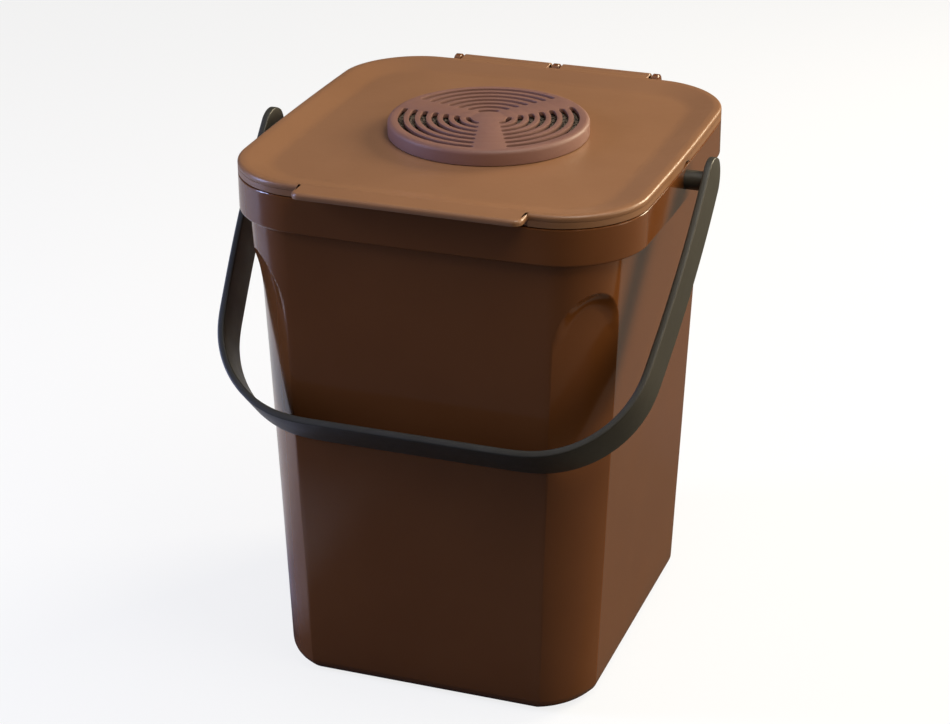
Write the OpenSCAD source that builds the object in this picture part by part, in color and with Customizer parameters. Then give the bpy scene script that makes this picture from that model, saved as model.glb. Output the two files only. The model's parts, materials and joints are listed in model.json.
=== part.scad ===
// Ten litre caddy for kitchen scraps: a tapered bin with a rim collar, a flush lid on a
// back hinge, a round vent cover over a carbon filter, and a strap bail to carry it by.
// The origin is the middle of the base, +Z is up and the front faces -Y. Millimetres.

/* [Bin] */
// Width of the bin at its base
base_w = 179; // [160:1:190]
// Depth of the bin at its base, front to back
base_d = 208; // [190:1:214]
// Width of the bin just under the collar
shoulder_w = 202; // [190:1:210]
// Depth of the bin just under the collar
shoulder_d = 219; // [206:1:221]
// Radius of the upright corners at the base
base_corner_r = 25; // [20:1:34]
// Radius of the upright corners under the collar
shoulder_corner_r = 31; // [24:1:38]
// Rounding of the edge round the base
base_edge_r = 9; // [4:0.5:12]
// Thickness of the moulded walls of the bin
wall = 2.4; // [1.8:0.1:3.2]
// Thickness of the floor of the bin
floor_t = 3; // [2:0.25:5]

/* [Collar] */
// Height of the collar's top edge above the base
bin_h = 285.5; // [250:0.5:330]
// Height of the collar
collar_h = 20; // [17:0.5:34]
// Width of the collar and the lid over their bowed sides
rim_w = 224; // [218:0.5:232]
// Depth of the collar and the lid over their bowed sides
rim_d = 228; // [226:0.5:240]
// Corner radius of the collar and the lid
rim_r = 42; // [34:1:50]
// How far each side of the rim bows outward
rim_bow = 2.4; // [0:0.2:4]

/* [Corner flutes] */
// Height of the flutes' arched tops
flute_top = 248.5; // [220:0.5:258]
// Height of the arch itself
flute_arch_h = 36; // [20:1:60]
// Half width of a flute's window across the corner
flute_half_w = 21.5; // [20:0.5:24]
// Width that a flute takes off the front and the back at the base
flute_base_cut_w = 23.5; // [18:0.5:28]
// Depth that a flute takes off the sides at the base
flute_base_cut_d = 28.5; // [24:0.5:36]
// Width that a flute takes off the front and the back at the shoulder
flute_top_cut_w = 27; // [22:0.5:30]
// Depth that a flute takes off the sides at the shoulder
flute_top_cut_d = 31; // [26:0.5:36]
// How round the flute's face is at the base, 0 flat and 1 nearly a full corner
flute_base_round = 0.5; // [0.4:0.02:0.8]
// How round the flute's face is at the shoulder
flute_top_round = 0.16; // [0:0.02:0.3]

/* [Lid] */
// Height of the lid's rim above the seam
lid_h = 6.7; // [5.5:0.1:10]
// Gap between the lid's skirt and the collar
seam_gap = 0.4; // [0.3:0.05:0.8]
// Thickness of the lid's walls
lid_wall = 2.2; // [1.6:0.1:2.6]
// Width of the flat rim round the lid
rim_flat = 4; // [3:0.5:6]
// Width of the bevel from the rim down to the sunk panel
bevel_w = 14; // [10:0.5:18]
// Depth of the sunk panel under the rim
panel_sink = 3.3; // [2.4:0.1:4]
// Depth of the locating ring that drops inside the collar
ring_depth = 8; // [5:0.5:12]
// Side clearance between the locating ring and the collar
ring_gap = 1.2; // [0.8:0.1:2]

/* [Front lip] */
// Width of the lip that lifts the lid
lip_w = 123; // [80:1:140]
// How far the lip stands in front of the collar
lip_reach = 10.5; // [6:0.5:14]
// Thickness of the lip
lip_t = 3.3; // [2.4:0.1:4]
// Radius of the lip's corners
lip_r = 5; // [2:0.5:8]
// Depth that the skirt is cut back under the lip
lip_recess = 1; // [0.6:0.1:1.4]

/* [Hinge] */
// Distance of the hinge axis behind the collar
hinge_back = 8; // [7:0.5:12]
// Height of the hinge axis above the collar's top edge
hinge_up = 1.5; // [0.5:0.25:2.5]
// Outer radius of the barrels and the ears
barrel_r = 5.2; // [4.5:0.1:6]
// Radius of the hinge rod
rod_r = 2; // [1.5:0.1:2.5]
// Distance between the outer faces of the outer ears
hinge_w = 124; // [90:1:140]
// Thickness of each ear
ear_t = 4; // [3:0.5:6]
// Side gap between an ear and a barrel
ear_gap = 1.5; // [0.5:0.25:3]
// Radial clearance of the rod in its holes
rod_fit = 0.06; // [0.02:0.01:0.1]

/* [Vent cover] */
// Outer radius of the cover
cover_r = 54.5; // [52:0.5:58]
// Height of the cover above the sunk panel
cover_h = 8.6; // [8.2:0.1:12]
// Thickness of the cover's top and side
cover_t = 2.2; // [1.6:0.1:2.4]
// Rounding of the cover's shoulder
cover_edge_r = 2.4; // [1:0.1:3]
// Distance of the cover's middle behind the middle of the lid
cover_y = 4; // [-6:0.5:10]
// How far the cover is turned about its own axis
cover_turn = 20; // [0:1:60]
// Centre-line radius of the outermost slots
slot_outer_r = 47.4; // [44:0.1:47.6]
// Distance from one ring of slots to the next
slot_pitch = 6.05; // [5.4:0.05:6.3]
// Width of each slot
slot_w = 3.3; // [2:0.1:3.6]
// Number of rings of slots
slot_rings = 7; // [3:1:7]
// Width of the spokes at the middle of the cover
spoke_in_w = 8; // [5:0.5:10]
// Width of the spokes at the cover's edge
spoke_out_w = 18; // [10:0.5:22]
// Width of the finger notch in the cover's side
pry_w = 11; // [6:0.5:16]
// Height of the finger notch
pry_h = 2.6; // [1.5:0.1:4]

/* [Filter] */
// Thickness of the carbon filter
filter_t = 5.6; // [4:0.1:5.8]
// Side clearance of the filter in its seat
filter_gap = 0.6; // [0.3:0.1:1.5]
// Thickness of the seat's wall
seat_wall = 2; // [1.5:0.1:2.5]
// Height of the seat's wall above the sunk panel
seat_h = 5; // [3:0.25:6]
// Clearance between the cover and the seat
cover_gap = 0.35; // [0.3:0.05:0.6]

/* [Handle] */
// Distance from the pivot axis to the outer face of the grip
bail_l = 168.5; // [162:0.5:176]
// Half width of the bail over its arms at the pivots
bail_top_half = 127.2; // [125:0.2:130]
// Half width of the bail where the arms meet the corners
bail_low_half = 120.4; // [119:0.2:122]
// Outward bow of each arm
bail_bow = 1.8; // [0:0.1:2]
// Outer radius of the bail's two corners
bail_corner_r = 60; // [30:1:70]
// Width of the strap
strap_w = 26.5; // [20:0.5:30]
// Thickness of the strap
strap_t = 3.8; // [3:0.1:4.5]
// Radius of the pivot studs
stud_r = 5.2; // [4:0.1:6]
// Radial clearance of a stud in its hole
stud_fit = 0.06; // [0.02:0.01:0.1]
// Distance of the pivot axis in front of the middle
pivot_front = 2; // [-4:0.5:8]
// Depth of the pivot axis below the collar's top edge
pivot_down = 7.5; // [7:0.25:9]
// Gap between the hanging grip and the front of the bin
rest_gap = 0.5; // [0.3:0.1:5]

/* [Hidden] */

$fn = 64;
eps = 0.01;
past = 1;              // how far a cut runs past the face it opens
corner_steps = 8;      // straight steps in a quarter round
side_steps = 6;        // straight steps along a bowed side
flute_steps = 6;       // straight steps across a flute's face
flute_over = 0.1;      // share by which a flute's face runs past the bin's faces
arch_steps = 16;       // straight steps in a flute's arch
slot_steps = 12;       // straight steps along a slot
end_steps = 6;         // straight steps round the end of a slot
shoulder_steps = 4;    // steps in the rounding of the vent cover's shoulder
arm_steps = 6;         // straight steps along an arm of the bail
hull_steps = 3;        // steps in the rounding of the base edge

bin_colour = [0.40, 0.27, 0.19];
lid_colour = [0.53, 0.37, 0.27];
cover_colour = [0.52, 0.38, 0.34];
filter_colour = [0.24, 0.22, 0.20];
handle_colour = [0.16, 0.15, 0.13];
rod_colour = [0.30, 0.21, 0.16];

// Collar and lid
collar_z = bin_h - collar_h;
ring_outer_inset = wall + ring_gap;
skirt_z = bin_h + seam_gap;
rim_z = skirt_z + lid_h;
panel_z = rim_z - panel_sink;
panel_under_z = panel_z - lid_wall;

// Hinge
hinge_y = rim_d / 2 + hinge_back;
hinge_z = bin_h + hinge_up;
barrel_l = hinge_w / 2 - 1.5 * ear_t - 2 * ear_gap;
barrel_x = ear_t / 2 + ear_gap + barrel_l / 2;
ear_x = hinge_w / 2 - ear_t / 2;

// Vent cover and the seat under it
seat_r = cover_r - cover_t - cover_gap;
filter_r = seat_r - seat_wall - filter_gap;
cover_top_z = panel_z + cover_h;
rest_lift = 0.2;       // air under the pieces that rest on the panel
grille_pitch = 12;     // rings of slots in the panel below the filter
grille_slot_w = 6;

// Handle
pivot_y = -pivot_front;
pivot_z = bin_h - pivot_down;
stud_in_x = rim_w / 2 - wall - 0.5;
arch_room = 4.5;       // room over the studs under the arches in the lid's skirt
draft = (shoulder_d - base_d) / 2 / collar_z;  // slope of the bin's front

// Angle below level at which the inner lower edge of the strap meets the bin's front
function rest_angle() =
    let (inner = bail_l - strap_t,
         half = strap_w / 2,
         along = inner + draft * half,
         across = half - draft * inner,
         reach = rest_gap + base_d / 2 + draft * pivot_z + pivot_y)
    acos(reach / norm([along, across])) - atan2(across, along);

bail_angle = rest_angle();

function lerp(a, b, t) = a + (b - a) * t;

// ---- outlines -------------------------------------------------------------------------

function corner_point(w, d, r, quarter, step) =
    let (sx = [1, -1, -1, 1][quarter],
         sy = [1, 1, -1, -1][quarter],
         a = 90 * (quarter + step / corner_steps))
    [sx * (w / 2 - r) + r * cos(a), sy * (d / 2 - r) + r * sin(a)];

// Rounded rectangle as a list of points, anticlockwise, with steps along its sides
function rounded_rect(w, d, r, steps = 1) =
    [for (q = [0:3])
        each concat(
            [for (i = [0:corner_steps]) corner_point(w, d, r, q, i)],
            [for (j = [1:1:steps - 1])
                lerp(corner_point(w, d, r, q, corner_steps),
                     corner_point(w, d, r, (q + 1) % 4, 0), j / steps)])];

// The rim's outline drawn in by an inset, its sides bowed outward
function rim_outline(inset) =
    let (w = rim_w - 2 * rim_bow - 2 * inset,
         d = rim_d - 2 * rim_bow - 2 * inset)
    [for (p = rounded_rect(w, d, max(rim_r - inset, 2), side_steps))
        let (u = 2 * p.x / w, v = 2 * p.y / d)
        [p.x + sign(p.x) * rim_bow * (1 - v * v) * pow(abs(u), 4),
         p.y + sign(p.y) * rim_bow * (1 - u * u) * pow(abs(v), 4)]];

// The bin's section with its four corners cut back to the faces of the flutes
function fluted_outline(w, d, cut_w, cut_d, roundness) =
    [for (q = [0:3])
        let (sx = [1, -1, -1, 1][q], sy = [1, 1, -1, -1][q])
        for (i = [0:flute_steps])
            let (k = q % 2 == 0 ? i : flute_steps - i,
                 t = lerp(-flute_over, 1 + flute_over, k / flute_steps),
                 side = [w / 2, d / 2 - cut_d],
                 face = [w / 2 - cut_w, d / 2],
                 bulge = [w - cut_w * (1 - roundness), d - cut_d * (1 - roundness)] / 2,
                 p = (1 - t) * (1 - t) * side + 2 * t * (1 - t) * bulge + t * t * face)
            [sx * p.x, sy * p.y]];

// Share of a corner cut that is left when both its faces move in by an inset
function cut_share(w, d, inset) = 1 - inset * (w + d - norm([w, d])) / (w * d);

// Arch in the upright plane across a corner: half width and top grow by the inset
function arch_outline(grow) =
    let (half = flute_half_w + grow, spring = flute_top - flute_arch_h)
    concat([[-half, -past], [half, -past]],
           [for (i = [0:arch_steps])
               let (a = 180 * i / arch_steps)
               [half * cos(a), spring + (flute_arch_h + grow) * sin(a)]]);

module slab(points, z) {
    translate([0, 0, z]) linear_extrude(eps) polygon(points);
}

module prism(points, z0, z1) {
    translate([0, 0, z0]) linear_extrude(z1 - z0) polygon(points);
}

module both_sides() {
    for (side = [0, 1]) mirror([side, 0, 0]) children();
}

module at_corners() {
    both_sides() for (back = [0, 1]) mirror([0, back, 0]) children();
}

// Cylinder along X, centred on x
module cross_bar(x, r, l) {
    translate([x - l / 2, 0, 0]) rotate([0, 90, 0]) cylinder(h = l, r = r);
}

// ---- bin ------------------------------------------------------------------------------

// The tapered bin without its flutes, or the hollow inside it when inset
module tapered_form(inset, z0, z1) {
    edge_r = base_edge_r - inset;
    hull() {
        for (i = [0:hull_steps]) {
            a = 90 * i / hull_steps;
            in = inset + edge_r * (1 - sin(a));
            slab(rounded_rect(base_w - 2 * in, base_d - 2 * in, base_corner_r - in),
                 z0 + edge_r * (1 - cos(a)));
        }
        slab(rounded_rect(shoulder_w - 2 * inset, shoulder_d - 2 * inset,
                          shoulder_corner_r - inset), z1 - eps);
    }
}

// Solid whose four corners are the faces of the flutes, from under the base to the shoulder
module flute_faces(inset) {
    base_k = cut_share(flute_base_cut_w, flute_base_cut_d, inset);
    top_k = cut_share(flute_top_cut_w, flute_top_cut_d, inset);
    hull() {
        slab(fluted_outline(base_w - 2 * inset, base_d - 2 * inset, flute_base_cut_w * base_k,
                            flute_base_cut_d * base_k, flute_base_round), -2 * past);
        slab(fluted_outline(shoulder_w - 2 * inset, shoulder_d - 2 * inset,
                            flute_top_cut_w * top_k, flute_top_cut_d * top_k,
                            flute_top_round), collar_z);
    }
}

// Arched window through one corner, square to the flute's face
module flute_window(grow) {
    facing = atan2(flute_top_cut_w, flute_top_cut_d);
    reach = rim_r;
    translate([(shoulder_w - flute_top_cut_w) / 2, (shoulder_d - flute_top_cut_d) / 2, 0])
        rotate([0, 0, facing])
            translate([-reach, 0, 0])
                rotate([90, 0, 90]) linear_extrude(2 * reach) polygon(arch_outline(grow));
}

module bin_form(inset, z0, z1) {
    difference() {
        tapered_form(inset, z0, z1);
        difference() {
            at_corners() flute_window(inset);
            flute_faces(inset);
        }
    }
}

// Side view of an ear, from the collar's back up to the hinge axis
module hinge_ear() {
    root = rim_d / 2 - wall / 2;
    rotate([90, 0, 90]) translate([0, 0, -ear_t / 2]) linear_extrude(ear_t) {
        polygon([[root, collar_z + 3], [hinge_y + barrel_r * 0.8, hinge_z - barrel_r * 0.6],
                 [hinge_y, hinge_z + barrel_r * 0.6], [hinge_y - barrel_r, hinge_z],
                 [root, bin_h - past]]);
        translate([hinge_y, hinge_z]) circle(r = barrel_r);
    }
}

module bin_body() {
    color(bin_colour) difference() {
        union() {
            bin_form(0, 0, collar_z + wall / 2);
            prism(rim_outline(0), collar_z, bin_h);
            for (x = [-ear_x, 0, ear_x]) translate([x, 0, 0]) hinge_ear();
        }
        bin_form(wall, floor_t, collar_z + wall + past);
        prism(rim_outline(wall), collar_z + wall, bin_h + past);
        translate([0, pivot_y, pivot_z]) cross_bar(0, stud_r + stud_fit, rim_w + 2 * past);
        translate([0, hinge_y, hinge_z]) cross_bar(0, rod_r + rod_fit, hinge_w + 2 * past);
    }
}

module hinge_rod() {
    color(rod_colour)
        translate([0, hinge_y, hinge_z]) cross_bar(0, rod_r, hinge_w);
}

// ---- lid ------------------------------------------------------------------------------

// Dished solid: the rim's outline at the top, drawn in by the bevel at the bottom
module dish(top_inset, top_z, flat_z, low_inset, low_z) {
    hull() {
        slab(rim_outline(top_inset), top_z - eps);
        slab(rim_outline(top_inset), flat_z);
        slab(rim_outline(low_inset), low_z);
    }
}

// Outline of a curved slot: an arc of a ring, from its outer side round both ends
function slot_outline(r, w, sweep) =
    let (half = sweep / 2)
    concat([for (i = [0:slot_steps]) let (a = -half + sweep * i / slot_steps)
               (r + w / 2) * [cos(a), sin(a)]],
           [for (i = [1:end_steps - 1])
               slot_end(r, w, half, 180 * i / end_steps)],
           [for (i = [0:slot_steps]) let (a = half - sweep * i / slot_steps)
               (r - w / 2) * [cos(a), sin(a)]],
           [for (i = [1:end_steps - 1])
               slot_end(r, w, -half, 180 + 180 * i / end_steps)]);

// Point of the round end of a slot at the angle a, turned from the outer side
function slot_end(r, w, a, turn) =
    [r * cos(a) + w / 2 * cos(a + turn), r * sin(a) + w / 2 * sin(a + turn)];

// Three sectors of concentric slots, with spokes left between the sectors
module slot_field(outer_r, pitch, w, rings, z0, z1) {
    for (ring = [0:rings - 1]) {
        r = outer_r - ring * pitch;
        spoke = lerp(spoke_in_w, spoke_out_w, r / cover_r);
        sweep = 120 - 2 * asin((spoke + w) / 2 / r);
        for (sector = [0:2])
            rotate([0, 0, 120 * sector + 60]) prism(slot_outline(r, w, sweep), z0, z1);
    }
}

module lip_plate() {
    depth = lip_reach + rim_flat / 2;
    translate([0, -rim_d / 2 - lip_reach + depth / 2, 0])
        prism(rounded_rect(lip_w, depth, lip_r), rim_z - lip_t, rim_z);
}

// Barrel round the hinge rod with the web that carries it to the lid's back edge
module hinge_flap() {
    web_t = lid_wall + 0.4;
    web_top = hinge_z + barrel_r * 0.94;
    rotate([90, 0, 90]) translate([0, 0, -barrel_l / 2]) linear_extrude(barrel_l) {
        translate([rim_d / 2 - rim_flat / 2, web_top - web_t])
            square([hinge_back + rim_flat / 2, web_t]);
        translate([hinge_y, hinge_z]) circle(r = barrel_r);
    }
}

module lid() {
    seat_z = panel_under_z + eps;
    color(lid_colour) difference() {
        union() {
            difference() {
                union() {
                    difference() {
                        prism(rim_outline(0), skirt_z, rim_z);
                        prism(rim_outline(lid_wall), skirt_z - past, rim_z + past);
                    }
                    dish(lid_wall / 2, rim_z, rim_z - lid_wall, rim_flat + bevel_w, panel_under_z);
                    difference() {
                        prism(rim_outline(ring_outer_inset), skirt_z - ring_depth,
                              rim_z - lid_wall / 2);
                        prism(rim_outline(ring_outer_inset + lid_wall * 0.8),
                              skirt_z - ring_depth - past, rim_z);
                    }
                }
                dish(rim_flat, rim_z + past, rim_z, rim_flat + bevel_w, panel_z);
            }
            lip_plate();
            for (x = [-barrel_x, barrel_x]) translate([x, 0, 0]) hinge_flap();
            translate([0, cover_y, seat_z])
                cylinder(h = panel_z + seat_h - seat_z, r = seat_r);
        }
        translate([0, cover_y, panel_z])
            cylinder(h = seat_h + past, r = seat_r - seat_wall);
        translate([0, cover_y, 0])
            slot_field(slot_outer_r - grille_slot_w / 2, grille_pitch, grille_slot_w, 3,
                       panel_under_z - past, panel_z + past);
        translate([-lip_w / 2, -rim_d / 2 - past, skirt_z - past])
            cube([lip_w, lip_recess + past, rim_z - lip_t - skirt_z + past]);
        translate([0, hinge_y, hinge_z]) cross_bar(0, rod_r + rod_fit, hinge_w);
        both_sides() translate([rim_w / 2, pivot_y, pivot_z])
            cross_bar(0, stud_r + arch_room, 2 * (lid_wall + past));
    }
}

// ---- vent cover and filter --------------------------------------------------------------

module vent_cover() {
    z0 = panel_z + rest_lift;
    shoulder = cover_top_z - cover_edge_r;
    color(cover_colour) translate([0, cover_y, 0]) rotate([0, 0, cover_turn + 30])
        difference() {
            rotate_extrude() polygon(concat(
                [[0, cover_top_z - cover_t], [cover_r - cover_t, cover_top_z - cover_t],
                 [cover_r - cover_t, z0], [cover_r, z0]],
                [for (i = [0:shoulder_steps])
                    let (a = 90 * i / shoulder_steps)
                    [cover_r - cover_edge_r * (1 - cos(a)), shoulder + cover_edge_r * sin(a)]],
                [[0, cover_top_z]]));
            slot_field(slot_outer_r, slot_pitch, slot_w, slot_rings,
                       cover_top_z - cover_t - past, cover_top_z + past);
            rotate([0, 0, 120]) translate([cover_r - cover_t - past, -pry_w / 2, z0 - past])
                cube([cover_t + 2 * past, pry_w, pry_h + past]);
        }
}

module carbon_filter() {
    color(filter_colour) translate([0, cover_y, panel_z + rest_lift])
        cylinder(h = filter_t, r = filter_r);
}

// ---- handle ---------------------------------------------------------------------------

// Right half of the bail's edge line: down the arm and round the corner, drawn in by an inset
function bail_edge(inset) =
    let (corner_x = bail_low_half - bail_corner_r, corner_y = -(bail_l - bail_corner_r))
    concat([for (i = [0:arm_steps])
               let (t = i / arm_steps)
               [lerp(bail_top_half, bail_low_half, t) + 4 * bail_bow * t * (1 - t) - inset,
                lerp(strap_w / 2, corner_y, t)]],
           [for (i = [1:corner_steps])
               let (a = -90 * i / corner_steps, r = bail_corner_r - inset)
               [corner_x + r * cos(a), corner_y + r * sin(a)]]);

function reversed(points) = [for (i = [len(points) - 1:-1:0]) points[i]];

// Whole edge line: the right half, then its mirror image back up the left arm
function bail_line(inset) =
    let (half = bail_edge(inset))
    concat(half, reversed([for (p = half) [-p.x, p.y]]));

module handle() {
    color(handle_colour) translate([0, pivot_y, pivot_z]) {
        rotate([bail_angle, 0, 0]) intersection() {
            translate([0, 0, -strap_w / 2]) linear_extrude(strap_w)
                polygon(concat(bail_line(0), reversed(bail_line(strap_t))));
            union() {
                cross_bar(0, strap_w / 2, 2 * bail_l);
                translate([-bail_l, -2 * bail_l, -strap_w / 2])
                    cube([2 * bail_l, 2 * bail_l, strap_w]);
            }
        }
        both_sides() translate([stud_in_x, 0, 0]) rotate([0, 90, 0])
            cylinder(h = bail_top_half - strap_t / 2 - stud_in_x, r = stud_r);
    }
}

bin_body();
hinge_rod();
lid();
vent_cover();
carbon_filter();
handle();
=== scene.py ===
# %% [markdown]
# # A compost caddy with a hinged lid
#
# The object is a tapered kitchen bin of glossy brown plastic with a flush lid, a round
# slotted vent cover over a carbon filter, and a dark strap bail. This script dresses the
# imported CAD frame: every moulding is remade as a smooth mesh of the same size, and every
# finish is a node material. Lengths below are in millimetres and become metres when a
# mesh is made, so that they can be read against the real thing.

# %% Load the frame
import json
from contextlib import contextmanager
from math import atan2, cos, degrees, pi, radians, sin, sqrt

import bmesh
import bpy
import numpy as np
from mathutils import Matrix, Vector

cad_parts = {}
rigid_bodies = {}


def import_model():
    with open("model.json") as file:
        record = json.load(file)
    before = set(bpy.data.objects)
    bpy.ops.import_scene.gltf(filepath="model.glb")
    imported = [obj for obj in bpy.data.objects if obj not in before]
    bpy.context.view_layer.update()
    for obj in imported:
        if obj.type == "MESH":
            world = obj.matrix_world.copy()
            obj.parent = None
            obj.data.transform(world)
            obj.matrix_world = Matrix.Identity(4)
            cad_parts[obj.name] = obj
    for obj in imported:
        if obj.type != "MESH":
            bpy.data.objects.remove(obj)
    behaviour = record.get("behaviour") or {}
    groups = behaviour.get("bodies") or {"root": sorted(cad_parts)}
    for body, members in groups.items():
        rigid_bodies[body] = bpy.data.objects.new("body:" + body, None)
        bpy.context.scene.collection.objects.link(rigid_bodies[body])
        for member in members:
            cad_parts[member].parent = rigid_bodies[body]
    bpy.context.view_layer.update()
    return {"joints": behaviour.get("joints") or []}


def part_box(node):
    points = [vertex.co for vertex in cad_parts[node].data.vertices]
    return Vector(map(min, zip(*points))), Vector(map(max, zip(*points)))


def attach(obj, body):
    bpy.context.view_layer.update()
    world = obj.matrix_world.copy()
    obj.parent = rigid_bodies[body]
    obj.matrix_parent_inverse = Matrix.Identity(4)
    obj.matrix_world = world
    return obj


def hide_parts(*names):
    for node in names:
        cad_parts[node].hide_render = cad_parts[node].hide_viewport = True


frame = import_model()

MM = 0.001


def box_mm(node):
    """Lowest and highest corner of a CAD node, in millimetres."""
    low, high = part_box(node)
    return np.array(low) / MM, np.array(high) / MM


# %% [markdown]
# ## Driving sizes
#
# The frame gives the outer sizes of each piece. What it can't give, such as a wall or a
# rounding, is named here once. A size that only one piece needs is named in its own cell.

# %% Sizes of the mouldings
bin_low, bin_high = box_mm("bin_body")
rod_low, rod_high = box_mm("hinge_rod")

BASE_W, BASE_D = 179.0, 208.0          # section of the bin at its base
SHOULDER_W, SHOULDER_D = 202.0, 219.0  # section just under the collar
BASE_R, SHOULDER_R = 25.0, 31.0        # radii of the upright corners there
BASE_EDGE_R = 9.0
WALL, FLOOR_T = 2.4, 3.0
BIN_H, COLLAR_H = 285.5, 20.0
RIM_W, RIM_D, RIM_R, RIM_BOW = 224.0, 228.0, 42.0, 2.4
COLLAR_Z = BIN_H - COLLAR_H

FLUTE_TOP, FLUTE_ARCH_H, FLUTE_HALF_W = 248.5, 36.0, 21.5
FLUTE_CUT_BASE = (23.5, 28.5)          # width and depth that a flute takes off a corner
FLUTE_CUT_TOP = (27.0, 31.0)
FLUTE_ROUND_BASE, FLUTE_ROUND_TOP = 0.5, 0.16
FLUTE_SCOOP_H = 11.0                   # height of the scooped band under the arch

SKIRT_Z = BIN_H + 0.4
RIM_Z = SKIRT_Z + 6.7
LID_WALL = 2.2
RIM_FLAT, BEVEL_W, PANEL_SINK = 4.0, 14.0, 3.3
PANEL_Z = RIM_Z - PANEL_SINK
RIM_EDGE_R = 1.6
LIP_W, LIP_REACH, LIP_T, LIP_R = 123.0, 10.5, 3.3, 5.0

COVER_Y, COVER_R = 4.0, 54.5
COVER_TOP = box_mm("vent_cover")[1][2]
COVER_T, COVER_EDGE_R = 2.2, 2.4
SEAT_R, SEAT_WALL, SEAT_H = 51.95, 2.0, 5.0

HINGE_Y = (rod_low[1] + rod_high[1]) / 2
HINGE_Z = (rod_low[2] + rod_high[2]) / 2
HINGE_W = rod_high[0] - rod_low[0]
HINGE = (HINGE_Y, HINGE_Z)
BARREL_R, EAR_T, EAR_GAP = 5.2, 4.0, 1.5

joints = {joint["name"]: joint for joint in frame["joints"]}
PIVOT_Y = joints["bail_swing"]["pos_m"][1] / MM
PIVOT_Z = joints["bail_swing"]["pos_m"][2] / MM
PIVOT = (PIVOT_Y, PIVOT_Z)
BAIL_L, BAIL_TOP, BAIL_LOW, BAIL_BOW = 168.5, 127.2, 120.4, 1.8
BAIL_CORNER_R, STRAP_W, STRAP_T, STUD_R = 60.0, 26.5, 3.8, 5.2
print("bin box", bin_low.round(1), bin_high.round(1))
print("hinge at y and z", HINGE, "pivot at", PIVOT)

# %% [markdown]
# ## Camera
#
# The camera was fitted to the photograph's edges: the lid's outline, its seam and the
# upright edges of the bin. It stands 1.4 m away, looks down at 24.5 degrees from 19.8
# degrees right of the front, and leans by just over a quarter of a degree. The lens is
# given for a sensor 36 mm wide and a picture of 950 by 724 pixels.

# %% Camera
VIEW_AZIMUTH, VIEW_ELEVATION, VIEW_ROLL = 19.83, 24.5, -0.28
VIEW_DISTANCE = 1398.0
VIEW_TARGET = Vector((-7.31, 0.73, 153.5))
LENS_MM, SENSOR_MM = 94.33, 36.0
FARTHEST = 30.0        # in metres, past the far edge of the floor


def camera_axes(azimuth, elevation):
    """Right, up and back of a camera that looks at the object from that side."""
    a, e = radians(azimuth), radians(elevation)
    back = Vector((sin(a) * cos(e), -cos(a) * cos(e), sin(e)))
    right = Vector((cos(a), sin(a), 0.0))
    return right, back.cross(right), back


right, up, back = camera_axes(VIEW_AZIMUTH, VIEW_ELEVATION)
lean = Matrix.Rotation(radians(VIEW_ROLL), 3, back)
camera = bpy.data.objects.new("camera", bpy.data.cameras.new("camera"))
bpy.context.scene.collection.objects.link(camera)
axes = Matrix((lean @ right, lean @ up, back)).transposed()
place = (VIEW_TARGET + back * VIEW_DISTANCE) * MM
camera.matrix_world = Matrix.Translation(place) @ axes.to_4x4()
camera.data.sensor_width = SENSOR_MM
camera.data.lens = LENS_MM
camera.data.clip_end = FARTHEST
bpy.context.scene.camera = camera
print("camera at", [round(v, 3) for v in place])

# %% [markdown]
# ## Materials
#
# Every finish here is moulded plastic or foam. A moulded surface is never one flat
# colour: the resin is a little cloudy, the gloss changes from place to place, and the
# skin ripples very slightly, which is what bends the reflections. Each plastic below has
# those three layers: a slow noise on colour, one on roughness, and a bump of two scales.

# %% Node helpers
MIX_FIRST, MIX_SECOND, MIX_RESULT = 6, 7, 2    # where a Mix node keeps its colours


def linear(colour):
    """sRGB colour from 0 to 255 as the linear RGBA that shaders take."""
    shares = [c / 255 for c in colour]
    return [s / 12.92 if s <= 0.04045 else ((s + 0.055) / 1.055) ** 2.4 for s in shares] + [1.0]


def feed(node, inputs):
    """Set or link a node's inputs, which are keyed by name or number."""
    for key, value in inputs.items():
        if isinstance(value, bpy.types.NodeSocket):
            node.id_data.links.new(value, node.inputs[key])
        else:
            node.inputs[key].default_value = value
    return node


def add(tree, kind, inputs, **settings):
    """New node of a tree, with its settings and its inputs."""
    node = tree.nodes.new(kind)
    for key, value in settings.items():
        setattr(node, key, value)
    return feed(node, inputs)


def new_material(name):
    """New material, with its node tree and its Principled shader."""
    material = bpy.data.materials.new(name)
    material.use_nodes = True
    return material, material.node_tree, material.node_tree.nodes["Principled BSDF"]


def own_coords(tree):
    """Coordinates that stay with the object when its body moves."""
    return add(tree, "ShaderNodeTexCoord", {}).outputs["Object"]


def noise(tree, coords, scale, detail=3.0, roughness=0.5):
    """Noise of that many cells to the metre."""
    return add(tree, "ShaderNodeTexNoise", {"Vector": coords, "Scale": scale, "Detail": detail,
                                            "Roughness": roughness}).outputs["Fac"]


def ramp(tree, fac, low, high, start=0.3, end=0.7):
    """Value of fac spread from low at start to high at end."""
    return add(tree, "ShaderNodeMapRange", {"Value": fac, "From Min": start, "From Max": end,
                                            "To Min": low, "To Max": high}).outputs["Result"]


def blend_colours(tree, fac, first, second):
    """Mix of two colours by fac."""
    return add(tree, "ShaderNodeMix", {0: fac, MIX_FIRST: first, MIX_SECOND: second},
               data_type="RGBA").outputs[MIX_RESULT]


def bump(tree, height, strength, distance, before=None):
    """Bump that stands out by distance in metres, on top of an earlier one."""
    inputs = {"Height": height, "Strength": strength, "Distance": distance}
    if before:
        inputs["Normal"] = before
    return add(tree, "ShaderNodeBump", inputs).outputs["Normal"]
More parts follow.
